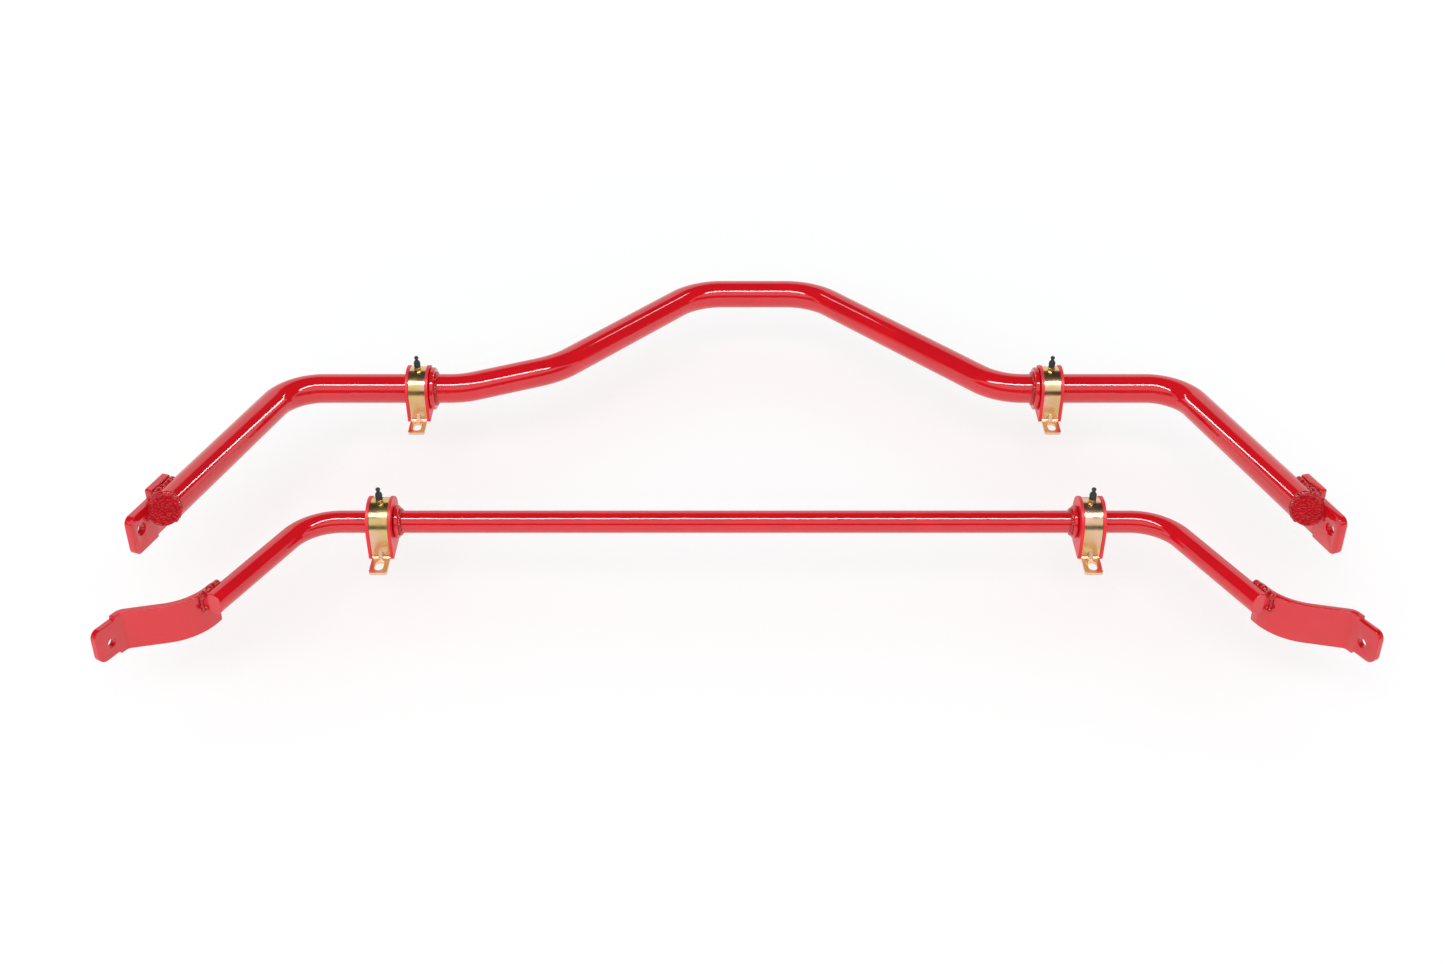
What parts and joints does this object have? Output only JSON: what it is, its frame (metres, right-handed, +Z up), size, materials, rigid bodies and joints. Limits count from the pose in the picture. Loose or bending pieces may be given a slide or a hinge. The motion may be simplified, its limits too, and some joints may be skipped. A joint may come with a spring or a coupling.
{
  "type": "sway bar set",
  "caption": "Front and rear automotive sway bars in red powder coat, each turning in greasable split bushings under plated slotted brackets, with flat arm plates drilled for end links.",
  "frame": {"origin": "midpoint of the set on the chassis face, under the middle of its bounding box", "axes": "+X to the right along both bars, +Y away from the arm ends, +Z up from the chassis face through the bushings"},
  "size_m": [1.1862, 0.6663, 0.0686],
  "materials": {
    "red_powder_coat": "glossy powder coat",
    "red_polyurethane": "satin moulded polyurethane",
    "yellow_zinc": "iridescent yellow zinc plating",
    "plated_fitting": "bright plated",
    "spring_steel": "polished",
    "black_rubber": "matte"
  },
  "bodies": {
    "bushing_mounts": {"front_left_bushing": "red_polyurethane", "front_left_strap": "yellow_zinc", "front_left_grease_fitting": "plated_fitting", "front_left_check_spring": "spring_steel", "front_right_bushing": "red_polyurethane", "front_right_strap": "yellow_zinc", "front_right_grease_fitting": "plated_fitting", "front_right_check_spring": "spring_steel", "rear_left_bushing": "red_polyurethane", "rear_left_strap": "yellow_zinc", "rear_left_grease_fitting": "plated_fitting", "rear_left_check_spring": "spring_steel", "rear_right_bushing": "red_polyurethane", "rear_right_strap": "yellow_zinc", "rear_right_grease_fitting": "plated_fitting", "rear_right_check_spring": "spring_steel"},
    "front_bar": {"front_bar_tube": "red_powder_coat", "front_left_end_plate": "red_powder_coat", "front_left_end_cap": "red_powder_coat", "front_left_end_weld": "red_powder_coat", "front_left_ring": "red_powder_coat", "front_left_ring_weld": "red_powder_coat", "front_right_end_plate": "red_powder_coat", "front_right_end_cap": "red_powder_coat", "front_right_end_weld": "red_powder_coat", "front_right_ring": "red_powder_coat", "front_right_ring_weld": "red_powder_coat"},
    "rear_bar": {"rear_bar_rod": "red_powder_coat", "rear_left_arm_plate": "red_powder_coat", "rear_left_arm_weld": "red_powder_coat", "rear_left_ring": "red_powder_coat", "rear_left_ring_weld": "red_powder_coat", "rear_right_arm_plate": "red_powder_coat", "rear_right_arm_weld": "red_powder_coat", "rear_right_ring": "red_powder_coat", "rear_right_ring_weld": "red_powder_coat"},
    "front_left_cap": {"front_left_dust_cap": "black_rubber"},
    "front_left_ball": {"front_left_check_ball": "spring_steel"},
    "front_right_cap": {"front_right_dust_cap": "black_rubber"},
    "front_right_ball": {"front_right_check_ball": "spring_steel"},
    "rear_left_cap": {"rear_left_dust_cap": "black_rubber"},
    "rear_left_ball": {"rear_left_check_ball": "spring_steel"},
    "rear_right_cap": {"rear_right_dust_cap": "black_rubber"},
    "rear_right_ball": {"rear_right_check_ball": "spring_steel"}
  },
  "joints": [
    {"name": "front_bar_pivot", "type": "hinge", "parent": "bushing_mounts", "child": "front_bar", "pos_m": [0, 0.09399, 0.0276], "axis": [1, 0, 0], "range_deg": [-16, 16]},
    {"name": "rear_bar_pivot", "type": "hinge", "parent": "bushing_mounts", "child": "rear_bar", "pos_m": [0, -0.14501, 0.0276], "axis": [1, 0, 0], "range_deg": [-22, 22]},
    {"name": "front_left_cap_pull", "type": "slide", "parent": "bushing_mounts", "child": "front_left_cap", "axis": [0, 0, 1], "range_m": [0, 0.02]},
    {"name": "front_left_ball_travel", "type": "slide", "parent": "bushing_mounts", "child": "front_left_ball", "axis": [0, 0, -1], "range_m": [0, 0.0008], "stiffness_N_per_m": 300, "springref_m": -0.001, "deforming": ["front_left_check_spring"]},
    {"name": "front_right_cap_pull", "type": "slide", "parent": "bushing_mounts", "child": "front_right_cap", "axis": [0, 0, 1], "range_m": [0, 0.02]},
    {"name": "front_right_ball_travel", "type": "slide", "parent": "bushing_mounts", "child": "front_right_ball", "axis": [0, 0, -1], "range_m": [0, 0.0008], "stiffness_N_per_m": 300, "springref_m": -0.001, "deforming": ["front_right_check_spring"]},
    {"name": "rear_left_cap_pull", "type": "slide", "parent": "bushing_mounts", "child": "rear_left_cap", "axis": [0, 0, 1], "range_m": [0, 0.02]},
    {"name": "rear_left_ball_travel", "type": "slide", "parent": "bushing_mounts", "child": "rear_left_ball", "axis": [0, 0, -1], "range_m": [0, 0.0008], "stiffness_N_per_m": 300, "springref_m": -0.001, "deforming": ["rear_left_check_spring"]},
    {"name": "rear_right_cap_pull", "type": "slide", "parent": "bushing_mounts", "child": "rear_right_cap", "axis": [0, 0, 1], "range_m": [0, 0.02]},
    {"name": "rear_right_ball_travel", "type": "slide", "parent": "bushing_mounts", "child": "rear_right_ball", "axis": [0, 0, -1], "range_m": [0, 0.0008], "stiffness_N_per_m": 300, "springref_m": -0.001, "deforming": ["rear_right_check_spring"]}
  ]
}
